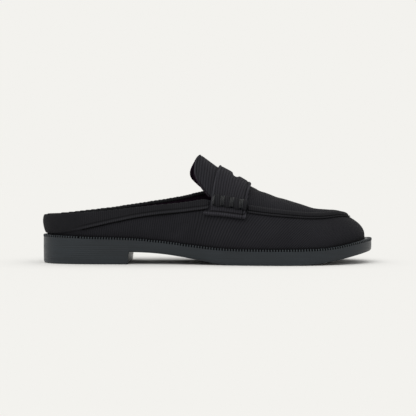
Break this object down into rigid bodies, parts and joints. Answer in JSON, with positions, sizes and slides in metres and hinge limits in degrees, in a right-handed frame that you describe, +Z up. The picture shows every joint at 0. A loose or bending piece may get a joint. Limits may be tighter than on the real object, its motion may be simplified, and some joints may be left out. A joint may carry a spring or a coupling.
{
  "type": "loafer mule",
  "caption": "Right knit loafer mule with a low heel rim, raised apron seam, slotted saddle strap and a low heel, standing empty on its sole.",
  "frame": {"origin": "middle of the shoe's box in plan, on the floor", "axes": "+X to the toe, +Y to the inner (medial) side of the foot, +Z up"},
  "size_m": [0.2656, 0.0904, 0.087],
  "materials": {
    "sole_rubber": "satin",
    "upper_knit": "matte",
    "band_knit": "matte",
    "lining": "matte"
  },
  "bodies": {
    "root": {"outsole": "sole_rubber", "insole": "lining", "upper": "upper_knit", "tongue": "upper_knit", "collar_band": "band_knit", "apron_rim": "band_knit", "strap": "band_knit", "beef_roll_lateral": "band_knit", "beef_roll_medial": "band_knit"}
  },
  "joints": []
}
